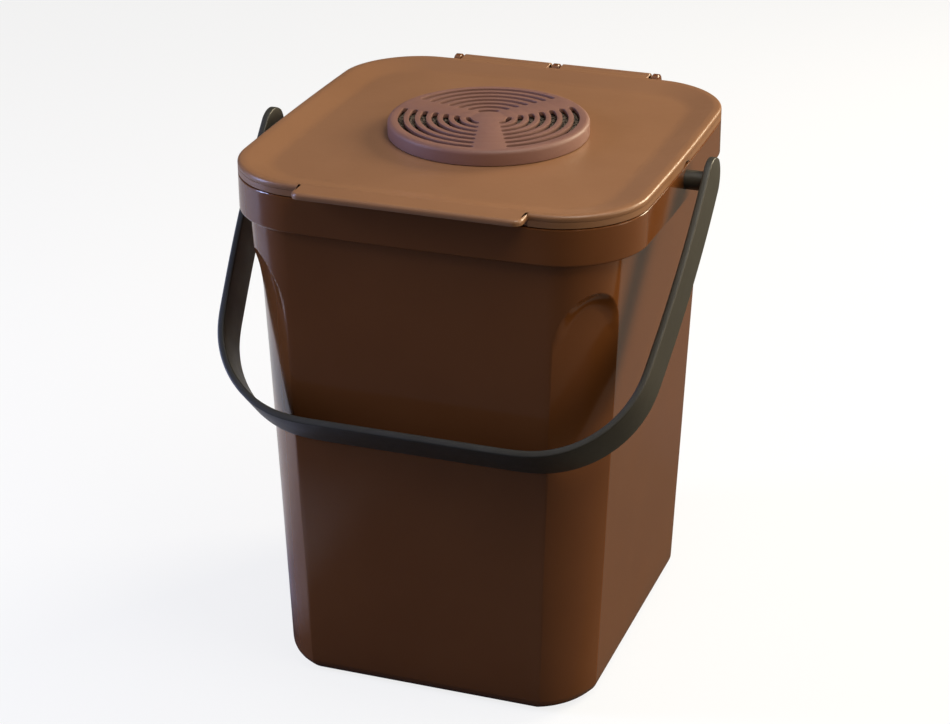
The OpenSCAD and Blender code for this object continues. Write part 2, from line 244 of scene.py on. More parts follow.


# %% [markdown]
# The four plastics differ in gloss and grain, and the cover and the strap in colour too. The
# lid is moulded from the bin's brown, but its colour is set paler as painted light, for the
# light that falls on its top. The bin is glossy, with a thin coat for its sharp highlights.
# The lid is satin, and the cover and the strap are nearly matt.

# %% The plastics
CLOUD_CELLS, WEAR_CELLS, RIPPLE_CELLS = 14.0, 55.0, 22.0    # all to the metre
PLASTIC_IOR, COAT_ROUGHNESS = 1.5, 0.06


def plastic(name, colour, cloud, gloss, ripple, grain, grain_cells, coat=0.0):
    """Moulded plastic: two near colours, a range of roughness, a slow ripple, a fine grain."""
    material, tree, shader = new_material(name)
    coords = own_coords(tree)
    clouds = ramp(tree, noise(tree, coords, CLOUD_CELLS), 0.0, 1.0)
    wear = noise(tree, coords, WEAR_CELLS, 5.0, 0.62)
    waves = bump(tree, noise(tree, coords, RIPPLE_CELLS, 1.0), 1.0, ripple)
    skin = bump(tree, noise(tree, coords, grain_cells, 2.0), 0.6, grain, waves)
    feed(shader, {"Base Color": blend_colours(tree, clouds, linear(colour), linear(cloud)),
                  "Roughness": ramp(tree, wear, *gloss), "Normal": skin, "IOR": PLASTIC_IOR,
                  "Coat Weight": coat, "Coat Roughness": COAT_ROUGHNESS})
    return material


bin_plastic = plastic("bin_gloss_brown", (112, 65, 31), (118, 70, 35), gloss=(0.12, 0.19),
                      ripple=0.00018, grain=0.00001, grain_cells=900.0, coat=0.15)
# The lid's paler brown is painted light for the light on its top; it is the bin's plastic.
lid_plastic = plastic("lid_satin_brown_painted_paler", (144, 102, 71), (150, 107, 75), gloss=(0.3, 0.4),
                      ripple=0.00012, grain=0.00003, grain_cells=1500.0)
cover_plastic = plastic("cover_mauve_brown", (130, 92, 80), (136, 97, 85), gloss=(0.48, 0.6),
                        ripple=0.00006, grain=0.00005, grain_cells=1300.0)
handle_plastic = plastic("handle_dark_olive", (54, 51, 43), (59, 56, 48), gloss=(0.38, 0.5),
                         ripple=0.00008, grain=0.00005, grain_cells=1600.0)
print("plastics:", [m.name for m in (bin_plastic, lid_plastic, cover_plastic, handle_plastic)])

# %% [markdown]
# The filter is open-pored foam charged with carbon: grey-brown struts round cells that
# are coloured dark as painted shade in the pores. A Voronoi texture gives the cells, its
# distance-to-edge the struts, and the same value drives a bump so that the cells look sunk.

# %% The foam
FOAM_CELLS = 420.0     # to the metre
CELL_DEPTH = 0.0012    # in metres


def foam(name, strut, pore_shade):
    """Open-pored foam: pale struts round sunk cells, coloured dark as painted shade."""
    material, tree, shader = new_material(name)
    cells = add(tree, "ShaderNodeTexVoronoi", {"Vector": own_coords(tree), "Scale": FOAM_CELLS},
                feature="DISTANCE_TO_EDGE")
    struts = ramp(tree, cells.outputs["Distance"], 1.0, 0.0, 0.05, 0.3)
    # Painted shade: the middles of the cells take the dark colour.
    feed(shader, {"Base Color": blend_colours(tree, struts, linear(pore_shade), linear(strut)),
                  "Normal": bump(tree, struts, 1.0, CELL_DEPTH), "Roughness": 0.95})
    return material


# The dark second colour is painted shade in the pores.
filter_foam = foam("carbon_foam", (122, 108, 94), (38, 32, 28))
print("foam:", filter_foam.name)

# %% [markdown]
# ## Mesh helpers
#
# Nearly every piece here is a loft: a stack of closed outlines with the same number of
# points, joined ring to ring. One helper makes the mesh, and another marks the edges that
# stay sharp, so that the rest shades smoothly. Most edges are sharp from 38 degrees on. The
# bin needs 7.5, because the edges of its flutes turn by little more than that at the base.

# %% Mesh helpers
SHARP_ANGLE, CREASE_ANGLE = 38.0, 7.5
SAME_POINT = 1e-7      # in metres


@contextmanager
def edited(mesh):
    """The mesh open for editing, and written back at the end."""
    work = bmesh.new()
    work.from_mesh(mesh)
    yield work
    work.to_mesh(mesh)
    work.free()


def smooth(obj, sharp=SHARP_ANGLE):
    """Smooth shading, but for edges that turn by the sharp angle or more."""
    obj.data.shade_smooth()
    with edited(obj.data) as work:
        for edge in work.edges:
            if len(edge.link_faces) == 2:
                edge.smooth = edge.calc_face_angle() < radians(sharp)


def mesh_object(name, points, faces, material, sharp=SHARP_ANGLE):
    """Object at the origin from points in millimetres, with outward faces, shaded smooth."""
    mesh = bpy.data.meshes.new(name)
    mesh.from_pydata((np.asarray(points) * MM).tolist(), [], faces)
    with edited(mesh) as work:
        bmesh.ops.remove_doubles(work, verts=work.verts, dist=SAME_POINT)
        bmesh.ops.dissolve_degenerate(work, edges=work.edges, dist=SAME_POINT)
        bmesh.ops.recalc_face_normals(work, faces=work.faces)
    mesh.materials.append(material)
    obj = bpy.data.objects.new(name, mesh)
    bpy.context.scene.collection.objects.link(obj)
    smooth(obj, sharp)
    return obj


def loft(rings, closed=False, caps=(False, False)):
    """Points and quads of a stack of rings, each an (n, 3) array; closed joins last to first."""
    rings = [np.asarray(ring) for ring in rings]
    n = len(rings[0])
    faces = []
    count = len(rings)
    for i in range(count if closed else count - 1):
        a, b = i * n, ((i + 1) % count) * n
        faces += [(a + j, a + (j + 1) % n, b + (j + 1) % n, b + j) for j in range(n)]
    if caps[0]:
        faces.append(tuple(range(n - 1, -1, -1)))
    if caps[1]:
        faces.append(tuple(range((count - 1) * n, count * n)))
    return np.vstack(rings), faces


def joined(shells):
    """One set of points and faces from several (points, faces) shells."""
    points, faces, start = [], [], 0
    for shell_points, shell_faces in shells:
        points.append(np.asarray(shell_points))
        faces += [tuple(i + start for i in face) for face in shell_faces]
        start += len(shell_points)
    return np.vstack(points), faces


def at_height(outline, z):
    """Ring of an outline's (n, 2) points at one height, or at a height per point."""
    return np.column_stack([outline, np.broadcast_to(z, len(outline))])


def lerp(a, b, t):
    return a + (b - a) * t


def around(count):
    """That many even angles round a circle."""
    return np.linspace(0, 2 * pi, count + 1)[:-1]


def quarter(steps):
    """Angles of a quarter round."""
    return np.linspace(0, pi / 2, steps + 1)


print("edges stay sharp from", SHARP_ANGLE, "degrees, on the bin from", CREASE_ANGLE)

# %% [markdown]
# ## Outlines
#
# All outlines run anticlockwise from the back right corner, with the same columns: a
# quarter round for each corner and a row of points for each side. Because the columns
# match, the bin's section can flow into the collar's, and the lid's into the round seat
# of the filter. The rim's sides bow outward by a formula.

# %% Outlines
CORNER_COLUMNS = 72
SIDE_COLUMNS = 14
EVEN_SIDES = (np.arange(1, SIDE_COLUMNS) / SIDE_COLUMNS,) * 4


def whole_outline(corner, sides):
    """Closed outline from its back right corner and the shares of the points on each side."""
    corners = [corner, (corner * [-1, 1])[::-1], corner * [-1, -1], (corner * [1, -1])[::-1]]
    points = []
    for q, shares in enumerate(sides):
        points.append(corners[q])
        points.append(lerp(corners[q][-1], corners[(q + 1) % 4][0], shares[:, None]))
    return np.vstack(points)


def bowed(points, w, d, bow):
    """Points of a w by d outline with each side bowed outward by bow at its middle."""
    x, y = points[:, 0], points[:, 1]
    u, v = 2 * x / w, 2 * y / d
    return np.column_stack([x + np.sign(x) * bow * (1 - v * v) * np.abs(u) ** 4,
                            y + np.sign(y) * bow * (1 - u * u) * np.abs(v) ** 4])


def rim_outline(inset, columns=CORNER_COLUMNS, sides=EVEN_SIDES):
    """Outline of the collar and the lid, drawn in by inset."""
    w, d = RIM_W - 2 * (RIM_BOW + inset), RIM_D - 2 * (RIM_BOW + inset)
    r = max(RIM_R - inset, 2.0)
    angles = quarter(columns)
    corner = np.column_stack([w / 2 - r + r * np.cos(angles), d / 2 - r + r * np.sin(angles)])
    return bowed(whole_outline(corner, sides), w, d, RIM_BOW)


def rim_ring(inset, z):
    return at_height(rim_outline(inset), z)


print("columns in an outline:", len(rim_outline(0.0)))

# %% [markdown]
# ## The bin
#
# The real bin is one moulding: a tapered bucket with rounded corners, a scooped flute down
# each corner that ends in an arch, and a wider collar that the lid closes on. It could be
# cut with booleans, but those leave ragged edges on a glossy surface. Here the section is
# worked out at every height instead. A ray from inside each corner meets both the rounded
# corner and the flatter face of the flute, and the nearer one wins, which gives crisp
# edges for free. Above, the arch fades the flute out over a short scooped band.

# %% Section of the bin
RAY_BACK = 40.0        # distance of the rays' start from both faces of a corner
SIDE_FADE_FROM, SIDE_FADE_H = 14.0, 40.0    # the band beside the arch ends over this height


def rounded_reach(angle, r):
    """Distance along a ray to the rounded corner, from RAY_BACK inside both faces."""
    c, s = np.cos(angle), np.sin(angle)
    flat = RAY_BACK / np.maximum(c, s)
    k = RAY_BACK - r
    along = k * (c + s)
    arc = along + np.sqrt(np.maximum(along ** 2 - 2 * k * k + r * r, 0))
    on_arc = (flat * c > k) & (flat * s > k)
    return np.where(on_arc, arc, flat)


def flute_reach(angle, cut, roundness):
    """Distance along a ray to the flute's face, a shallow curve across the corner."""
    side = np.array([RAY_BACK, RAY_BACK - cut[1]])
    face = np.array([RAY_BACK - cut[0], RAY_BACK])
    middle = RAY_BACK - np.array(cut) * (1 - roundness) / 2
    t = np.linspace(-0.12, 1.12, 200)[:, None]
    curve = (1 - t) ** 2 * side + 2 * t * (1 - t) * middle + t * t * face
    turned = np.arctan2(curve[:, 1], curve[:, 0])
    return np.interp(angle, turned, np.hypot(curve[:, 0], curve[:, 1]), left=1e3, right=1e3)


def cut_share(cut, inset):
    """Share of a corner cut that is left when all its faces move in by inset."""
    w, d = cut
    return 1 - inset * (w + d - sqrt(w * w + d * d)) / (w * d)


def flute_fade(across, z, inset):
    """0 outside the arch and 1 well inside it, for points at a distance across the corner."""
    half, height = FLUTE_HALF_W + inset, FLUTE_ARCH_H + inset
    spring = FLUTE_TOP - FLUTE_ARCH_H
    oval = np.sqrt((across / half) ** 2 + (max(z - spring, 0.0) / height) ** 2)
    band = (1 - oval) * height / FLUTE_SCOOP_H
    open_below = np.clip((spring + SIDE_FADE_FROM - z) / SIDE_FADE_H, 0, 1)
    s = np.clip(np.where(oval < 1, band + open_below * 1.5, 0), 0, 1)
    return s * (2 - s)


def bin_corner(z, inset, draw_in):
    """Back right corner of the bin's section at a height."""
    share = np.clip(z / COLLAR_Z, 0, 1)
    w = lerp(BASE_W, SHOULDER_W, share) / 2 - inset - draw_in
    d = lerp(BASE_D, SHOULDER_D, share) / 2 - inset - draw_in
    r = lerp(BASE_R, SHOULDER_R, share) - inset - draw_in
    cut = [lerp(b, t, share) for b, t in zip(FLUTE_CUT_BASE, FLUTE_CUT_TOP)]
    kept = cut_share(cut, inset) - draw_in * 0.02
    cut = [c * kept for c in cut]
    roundness = lerp(FLUTE_ROUND_BASE, FLUTE_ROUND_TOP, share)
    angle = quarter(CORNER_COLUMNS)
    plain = rounded_reach(angle, r)
    sunk = np.maximum(plain - flute_reach(angle, cut, roundness), 0)
    start = np.array([w - RAY_BACK, d - RAY_BACK])
    unit = np.column_stack([np.cos(angle), np.sin(angle)])
    middle = np.array([SHOULDER_W - FLUTE_CUT_TOP[0], SHOULDER_D - FLUTE_CUT_TOP[1]]) / 2
    facing = atan2(FLUTE_CUT_TOP[0], FLUTE_CUT_TOP[1])
    points = start + unit * plain[:, None]
    across = (points - middle) @ np.array([-sin(facing), cos(facing)])
    reach = plain - sunk * flute_fade(across, z, inset)
    return start + unit * reach[:, None]


def bin_section(z, inset=0.0, draw_in=0.0):
    return at_height(whole_outline(bin_corner(z, inset, draw_in), EVEN_SIDES), z)


print("section at the base:", np.ptp(bin_section(0.0), axis=0)[:2].round(1))

# %% [markdown]
# The bin's wall is then one closed loft: out from the middle of the base, up the outside,
# out under the collar, over its top edge and down the inside again. Every edge gets a
# small rounding, because a moulding has no knife edges and the roundings catch the light.

# %% Wall of the bin
SHELF_R = 1.2          # rounding under the collar
TOP_EDGE_R = 0.7       # rounding of the collar's top edge
FINE_Z = 200.0         # from here to the arches' tops the rings are close together
FINE_TOP_Z = FLUTE_TOP + 1.5


def middle_ring(ring, share):
    """A flat ring drawn towards the middle, for floors."""
    return ring * [share, share, 1]


outer = []
for a in quarter(8):
    outer.append(bin_section(BASE_EDGE_R * (1 - cos(a)), 0.0, BASE_EDGE_R * (1 - sin(a))))
for low, high, count in ((BASE_EDGE_R, FINE_Z, 18), (FINE_Z, FINE_TOP_Z, 76),
                         (FINE_TOP_Z, COLLAR_Z, 6)):
    outer += [bin_section(z) for z in np.linspace(low, high, count)[1:]]

collar = []
for a in quarter(4):
    collar.append(rim_ring(SHELF_R * (1 - sin(a)), COLLAR_Z + SHELF_R * (1 - cos(a))))
collar += [rim_ring(0.0, z) for z in np.linspace(COLLAR_Z + 3, BIN_H - 3, 4)]
for a in quarter(4):
    collar.append(rim_ring(TOP_EDGE_R * (1 - cos(a)), BIN_H - TOP_EDGE_R * (1 - sin(a))))
for a in quarter(4):
    collar.append(rim_ring(WALL - TOP_EDGE_R * (1 - sin(a)), BIN_H - TOP_EDGE_R * (1 - cos(a))))
collar.append(rim_ring(WALL, COLLAR_Z + WALL + 2))
collar.append(rim_ring(WALL + 0.6, COLLAR_Z + WALL + 0.6))

inner_edge_r = BASE_EDGE_R - WALL
inner = [bin_section(z, WALL) for z in np.linspace(COLLAR_Z + WALL, FINE_Z, 26)]
inner += [bin_section(z, WALL) for z in np.linspace(FINE_Z, FLOOR_T + inner_edge_r, 12)[1:]]
for a in quarter(4)[::-1][1:]:
    inner.append(bin_section(FLOOR_T + inner_edge_r * (1 - cos(a)), WALL,
                             inner_edge_r * (1 - sin(a))))

base_shares = (0.0, 0.4, 0.8)
base = [middle_ring(outer[0], share) for share in base_shares]
floor = [middle_ring(inner[-1], share) for share in base_shares[::-1]]
bin_wall = loft(base + outer + collar + inner + floor)
print("bin wall:", len(bin_wall[0]), "points,", len(bin_wall[1]), "quads")

# %% [markdown]
# Three ears stand out behind the collar and carry the hinge. Each is a plate with a hole
# for the pin. Its outline, seen from the side, is the hull of a round knob and a foot on the
# collar. It is taken as rays from the hole's middle, so that both have the same columns.

# %% Hinge ears
EAR_ROOT_Y = RIM_D / 2 - WALL / 2
ROD_HOLE_R = 2.06
NEARLY = 1e-9          # room for rounding errors


def hull_reach(points, centre, angles):
    """Distance along each ray from the centre to the convex hull of side-view points."""
    reach = np.zeros(len(angles))
    count = len(points)
    for k, a in enumerate(angles):
        ray = np.array([cos(a), sin(a)])
        for i in range(count):
            for j in range(i + 1, count):
                p, step = points[i] - centre, points[j] - points[i]
                turn = ray[0] * step[1] - ray[1] * step[0]
                if abs(turn) > NEARLY:
                    t = (p[0] * step[1] - p[1] * step[0]) / turn
                    s = (p[0] * ray[1] - p[1] * ray[0]) / turn
                    if -NEARLY <= s <= 1 + NEARLY:
                        reach[k] = max(reach[k], t)
    return reach


def side_ring(x, angles, reach, axis=HINGE):
    """Ring at one x round an axis, which is given by its y and z."""
    return np.column_stack([np.full(len(angles), x), axis[0] + reach * np.cos(angles),
                            axis[1] + reach * np.sin(angles)])


def pierced_plate(x, thickness, angles, reach, hole_r, edge=0.45):
    """Closed plate across the hinge axis, with a hole and eased edges."""
    x0, x1 = x - thickness / 2, x + thickness / 2
    section = ((x0, hole_r), (x0, reach - edge), (x0 + edge, reach), (x1 - edge, reach),
               (x1, reach - edge), (x1, hole_r))
    return loft([side_ring(at, angles, r) for at, r in section], closed=True)


knob = [(HINGE_Y + BARREL_R * cos(a), HINGE_Z + BARREL_R * sin(a)) for a in around(32)]
foot = [(EAR_ROOT_Y, COLLAR_Z + 3), (EAR_ROOT_Y, BIN_H - 1)]
toward = [atan2(z - HINGE_Z, y - HINGE_Y) % (2 * pi) for y, z in foot]
ear_angles = np.sort(np.concatenate([around(64), toward]))
ear_reach = hull_reach(np.array(knob + foot), np.array(HINGE), ear_angles)
ear_x = HINGE_W / 2 - EAR_T / 2
ears = [pierced_plate(x, EAR_T, ear_angles, ear_reach, ROD_HOLE_R) for x in (-ear_x, 0.0, ear_x)]
bin_body = mesh_object("bin_moulding", *joined([bin_wall] + ears), bin_plastic, CREASE_ANGLE)
print("ears:", len(ears), "with their middles", round(ear_x, 1), "mm apart")

# %% [markdown]
# The bail's studs turn in two holes through the collar. These are cut with a boolean: the
# collar is nearly flat there, so a cut is cleaner than bending the whole grid round a hole.

# %% Pivot holes
STUD_ROOM = 0.06
cutter_rings = [side_ring(x, around(48), STUD_R + STUD_ROOM, PIVOT) for x in (-RIM_W, RIM_W)]
cutter = mesh_object("pivot_cutter", *loft(cutter_rings, caps=(True, True)), bin_plastic)
cut = bin_body.modifiers.new("pivot_holes", "BOOLEAN")
cut.operation, cut.solver, cut.object = "DIFFERENCE", "EXACT", cutter


def bake(obj):
    """Apply an object's modifiers to its mesh."""
    depsgraph = bpy.context.evaluated_depsgraph_get()
    mesh = bpy.data.meshes.new_from_object(obj.evaluated_get(depsgraph))
    obj.modifiers.clear()
    obj.data = mesh
    return obj


bake(bin_body)
bpy.data.objects.remove(cutter)
smooth(bin_body, CREASE_ANGLE)
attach(bin_body, "bin")
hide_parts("bin_body")
print("bin:", len(bin_body.data.polygons), "faces")

# %% [markdown]
# ## The lid
#
# The lid is one closed loft too. Its section runs up the skirt, over the rounded edge,
# across the narrow flat rim, down a wide bevel to the sunk panel and up the round seat of
# the filter, then back underneath with the ring that drops inside the collar. Two things
# break the even outline. The lip at the front is a second outline with the same columns,
# so the flat rim runs out into it in one plane as it does on the moulding. The skirt is
# arched over each pivot.

# %% Lid outlines
LIP_RECESS = 1.0                               # how far the skirt stands back under the lip
ARCH_R = STUD_R + 4.5                          # arch in the skirt, with room over the stud
STRAIGHT_X = RIM_W / 2 - RIM_BOW - RIM_R       # half length of the front's straight part
STRAIGHT_Y = RIM_D / 2 - RIM_BOW - RIM_R
LIP_Y = -RIM_D / 2 - LIP_REACH
LID_CORNER = 40                                # steps round a corner
LAST_COLUMN = 66                               # place of a side's first and last column
LIP_EVEN = 57                                  # up to here the lip's columns are even
EDGE_HALF = 0.35                               # columns this near its edge draw its side
EDGE_SIDE = 0.3                                # share of those on the side, before its corner


def shares_of(places, half):
    """Shares along a side of places measured from its middle."""
    return (np.array(places) + half) / (2 * half)


half_front = np.concatenate([[-LAST_COLUMN, -64, -62.6],
                             -LIP_W / 2 + np.linspace(-EDGE_HALF, EDGE_HALF, 15),
                             np.linspace(-LIP_EVEN, 0, 16)])
front_places = np.concatenate([half_front, -half_front[-2::-1]])
side_places = np.concatenate([np.linspace(-LAST_COLUMN, -8, 9), np.linspace(-6, 6, 17),
                              np.linspace(8, LAST_COLUMN, 9)])
LID_SIDES = [np.sort(shares) for shares in (
    np.arange(1, 30) / 30, shares_of(-(side_places + PIVOT_Y), STRAIGHT_Y),
    shares_of(front_places, STRAIGHT_X), shares_of(side_places + PIVOT_Y, STRAIGHT_Y))]
front_start = 3 * (LID_CORNER + 1) + len(LID_SIDES[0]) + len(LID_SIDES[1])
on_lip = np.abs(front_places) <= LIP_W / 2 + EDGE_HALF + 0.01
lip_columns = front_start + np.flatnonzero(on_lip)
lip_places = front_places[on_lip]


def lid_outline(inset):
    """The rim's outline with the lid's own columns."""
    return rim_outline(inset, LID_CORNER, LID_SIDES)


def lip_outline(inset):
    """The rim's outline with the lip standing out of its front."""
    points = lid_outline(inset)
    r = LIP_R - inset
    side_x, front_y = LIP_W / 2 - inset, LIP_Y + inset
    for column, place in zip(lip_columns, lip_places):
        share = abs(place) - (LIP_W / 2 - EDGE_HALF)
        if share >= -1e-6:
            t = 1 - share / (2 * EDGE_HALF)      # 0 at the rim, 1 past the lip's corner
            side = min(t / EDGE_SIDE, 1.0)
            turn = max((t - EDGE_SIDE) / (1 - EDGE_SIDE), 0.0) * pi / 2
            x = side_x - r * (1 - cos(turn))
            y = lerp(points[column][1], front_y + r, side) - r * sin(turn)
        else:
            x, y = abs(place) / LIP_EVEN * (side_x - r - 1.0), front_y
        points[column] = [x if place > 0 else -x, y]
    return points


def skirt_outline(inset):
    """The skirt's outer outline, cut back under the lip."""
    points = lid_outline(inset)
    under = lip_columns[np.abs(lip_places) < LIP_W / 2]
    points[under, 1] += LIP_RECESS
    return points


def skirt_bottom(outline):
    """Height of the skirt's lower edge: level, but arched over the pivots."""
    on_side = np.abs(outline[:, 0]) > RIM_W / 2 - 8
    off = np.abs(outline[:, 1] - PIVOT_Y)
    arch = PIVOT_Z + np.sqrt(np.maximum(ARCH_R ** 2 - off ** 2, 0))
    return np.where(on_side & (off < ARCH_R), np.maximum(arch, SKIRT_Z), SKIRT_Z)


print("lid columns:", len(lid_outline(0.0)))

# %% [markdown]
# The section is a list of outlines and heights. The soft corners at the top and the foot
# of the bevel are short curves, since the photograph shows the bevel fading into the panel.

# %% Lid shell
PANEL_UNDER_Z = PANEL_Z - LID_WALL
LIP_UNDER_Z = RIM_Z - LIP_T
RING_OUT = WALL + 1.2
RING_IN = RING_OUT + LID_WALL * 0.8
RING_LOW_Z = SKIRT_Z - 8.0
SEAT_IN_R = SEAT_R - SEAT_WALL
SEAT_TOP = PANEL_Z + SEAT_H
SEAT_EASE, RING_EASE = 0.3, 0.4
PANEL_R = 70.0                                 # a circle between the panel's edge and the seat
SKIRT_RISE, RING_OUT_RISE, RING_IN_RISE = 3.1, 2.8, 2.45    # the underside climbs outward
SHOULDER_SOFT, FOOT_SOFT = 1.6, 3.2            # half lengths of the bevel's curves


def vent_outline(r):
    """Circle round the vent's middle whose columns point at the panel's outline."""
    outline = lid_outline(RIM_FLAT + BEVEL_W) - [0, COVER_Y]
    unit = outline / np.hypot(outline[:, 0], outline[:, 1])[:, None]
    return unit * r + [0, COVER_Y]


def bevel_curve():
    """(inset, z) down the bevel, with a soft shoulder and a softer foot."""
    top, low = (RIM_FLAT, RIM_Z), (RIM_FLAT + BEVEL_W, PANEL_Z)
    slope = (low[1] - top[1]) / (low[0] - top[0])
    points = []
    for s in np.linspace(-SHOULDER_SOFT, SHOULDER_SOFT, 7):
        points.append((top[0] + s, top[1] + slope * (s + SHOULDER_SOFT) ** 2 / (4 * SHOULDER_SOFT)))
    for s in np.linspace(-FOOT_SOFT, FOOT_SOFT, 9):
        points.append((low[0] + s, low[1] - slope * (FOOT_SOFT - s) ** 2 / (4 * FOOT_SOFT)))
    return points


def lid_rings():
    """Rings up the skirt, over the rim, down to the seat and back underneath."""
    inner, foot, outer = lid_outline(LID_WALL), skirt_outline(0.3), skirt_outline(0.0)
    stack = [
        (inner, PANEL_UNDER_Z + SKIRT_RISE), (inner, skirt_bottom(inner) + 0.25),
        (lid_outline(LID_WALL - 0.25), skirt_bottom(inner)),
        (foot, skirt_bottom(foot)), (outer, skirt_bottom(outer) + 0.3),
        (outer, LIP_UNDER_Z - 0.5), (outer, LIP_UNDER_Z), (lip_outline(0.35), LIP_UNDER_Z),
        (lip_outline(0.1), LIP_UNDER_Z + 0.1), (lip_outline(0.0), LIP_UNDER_Z + 0.35)]
    for a in quarter(6):
        stack.append((lip_outline(RIM_EDGE_R * (1 - cos(a))), RIM_Z - RIM_EDGE_R * (1 - sin(a))))
    stack += [(lid_outline(inset), z) for inset, z in bevel_curve()]
    stack += [(vent_outline(r), z) for r, z in (
        (PANEL_R, PANEL_Z), (SEAT_R, PANEL_Z), (SEAT_R, SEAT_TOP - SEAT_EASE),
        (SEAT_R - SEAT_EASE, SEAT_TOP), (SEAT_IN_R + SEAT_EASE, SEAT_TOP),
        (SEAT_IN_R, SEAT_TOP - SEAT_EASE), (SEAT_IN_R, PANEL_UNDER_Z), (PANEL_R, PANEL_UNDER_Z))]
    stack += [(lid_outline(inset), z) for inset, z in (
        (RIM_FLAT + BEVEL_W, PANEL_UNDER_Z), (RING_IN, PANEL_UNDER_Z + RING_IN_RISE),
        (RING_IN, RING_LOW_Z + RING_EASE), (RING_IN - RING_EASE, RING_LOW_Z),
        (RING_OUT + RING_EASE, RING_LOW_Z), (RING_OUT, RING_LOW_Z + RING_EASE),
        (RING_OUT, PANEL_UNDER_Z + RING_OUT_RISE))]
    return [at_height(outline, z) for outline, z in stack]


lid_shell = loft(lid_rings(), closed=True)
print("lid shell:", len(lid_shell[1]), "quads")

# %% [markdown]
# Two flaps reach back from the rim to the hinge, each with a barrel round the pin between
# two ears. Their top is nearly level with the rim.

# %% Hinge flaps
BARREL_L = HINGE_W / 2 - 1.5 * EAR_T - 2 * EAR_GAP
BARREL_X = EAR_T / 2 + EAR_GAP + BARREL_L / 2
WEB_T = LID_WALL + 0.4
WEB_TOP = HINGE_Z + BARREL_R * 0.94


def web(x):
    """Plate from inside the rim to over the barrel, with an eased back edge."""
    y0, y1, z0, z1 = RIM_D / 2 - RIM_FLAT / 2, HINGE_Y + 0.6, WEB_TOP - WEB_T, WEB_TOP
    side = np.array([(y0, z0), (y1, z0), (y1, z1 - 0.1), (y0, z1 - 0.1)])
    small = np.array([(y0, z0 + 0.4), (y1, z0 + 0.4), (y1, z1 - 0.5), (y0, z1 - 0.5)])
    rings = []
    for along, ring in ((-BARREL_L / 2, small), (-BARREL_L / 2 + 0.4, side),
                        (BARREL_L / 2 - 0.4, side), (BARREL_L / 2, small)):
        rings.append(np.column_stack([np.full(4, x + along), ring]))
    return loft(rings, caps=(True, True))


flaps = []
for x in (-BARREL_X, BARREL_X):
    flaps.append(pierced_plate(x, BARREL_L, around(48), BARREL_R, ROD_HOLE_R))
    flaps.append(web(x))
print("flaps from x", round(BARREL_X - BARREL_L / 2, 1), "to", round(BARREL_X + BARREL_L / 2, 1))

# %% [markdown]
# ## Slots
#
# The vent cover and the panel under the filter are both pierced by rings of curved slots
# in three sectors. That is a rule, so it is a Geometry Nodes tree: a row of points runs
# round every slot, each placed from its index alone, gathered into closed curves and
# filled together with the disc's edge. Rings, pitch, slot width and spokes are inputs.

# %% Slotted disc tree
ARC_STEPS, END_STEPS, SECTORS = 30, 8, 3
SLOT_POINTS = 2 * (ARC_STEPS + END_STEPS)
SECTOR_TURN = 2 * pi / SECTORS


